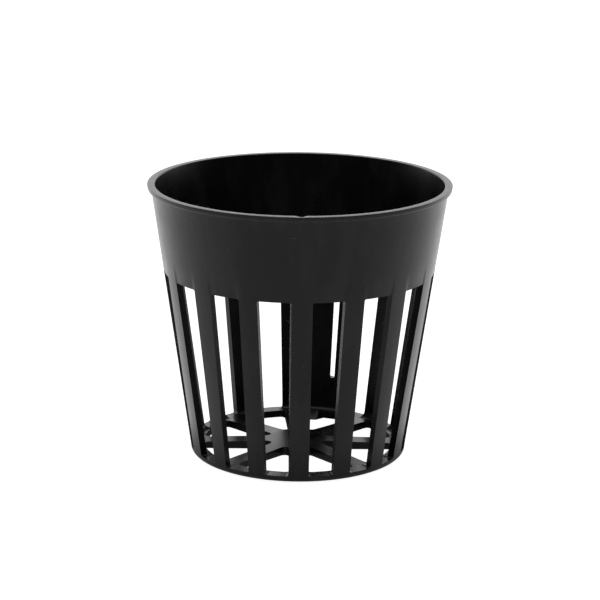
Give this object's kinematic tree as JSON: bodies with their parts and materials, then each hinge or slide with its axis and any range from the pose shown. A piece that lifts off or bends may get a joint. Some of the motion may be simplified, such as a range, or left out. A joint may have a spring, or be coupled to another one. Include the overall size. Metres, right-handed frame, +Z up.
{
  "type": "net pot",
  "caption": "Small tapered net pot with a plain lipped collar, slotted sides and an open spoked floor, to hold a seedling in a tray or lid hole.",
  "frame": {"origin": "middle of the foot, on the surface that the pot stands on", "axes": "+Z up along the pot's axis, -Y towards the front, which faces the picture's camera"},
  "size_m": [0.055, 0.055, 0.0502],
  "materials": {
    "black_plastic": "moulded black polypropylene with a satin sheen"
  },
  "bodies": {
    "root": {"rim_lip": "black_plastic", "collar": "black_plastic", "rib_01": "black_plastic", "rib_02": "black_plastic", "rib_03": "black_plastic", "rib_04": "black_plastic", "rib_05": "black_plastic", "rib_06": "black_plastic", "rib_07": "black_plastic", "rib_08": "black_plastic", "rib_09": "black_plastic", "rib_10": "black_plastic", "rib_11": "black_plastic", "rib_12": "black_plastic", "rib_13": "black_plastic", "rib_14": "black_plastic", "rib_15": "black_plastic", "blank_panel": "black_plastic", "foot_ring": "black_plastic", "floor_spoke_01": "black_plastic", "floor_spoke_02": "black_plastic", "floor_spoke_03": "black_plastic", "floor_spoke_04": "black_plastic", "floor_spoke_05": "black_plastic", "floor_spoke_06": "black_plastic", "floor_spoke_07": "black_plastic", "floor_spoke_08": "black_plastic", "floor_hub": "black_plastic"}
  },
  "joints": []
}
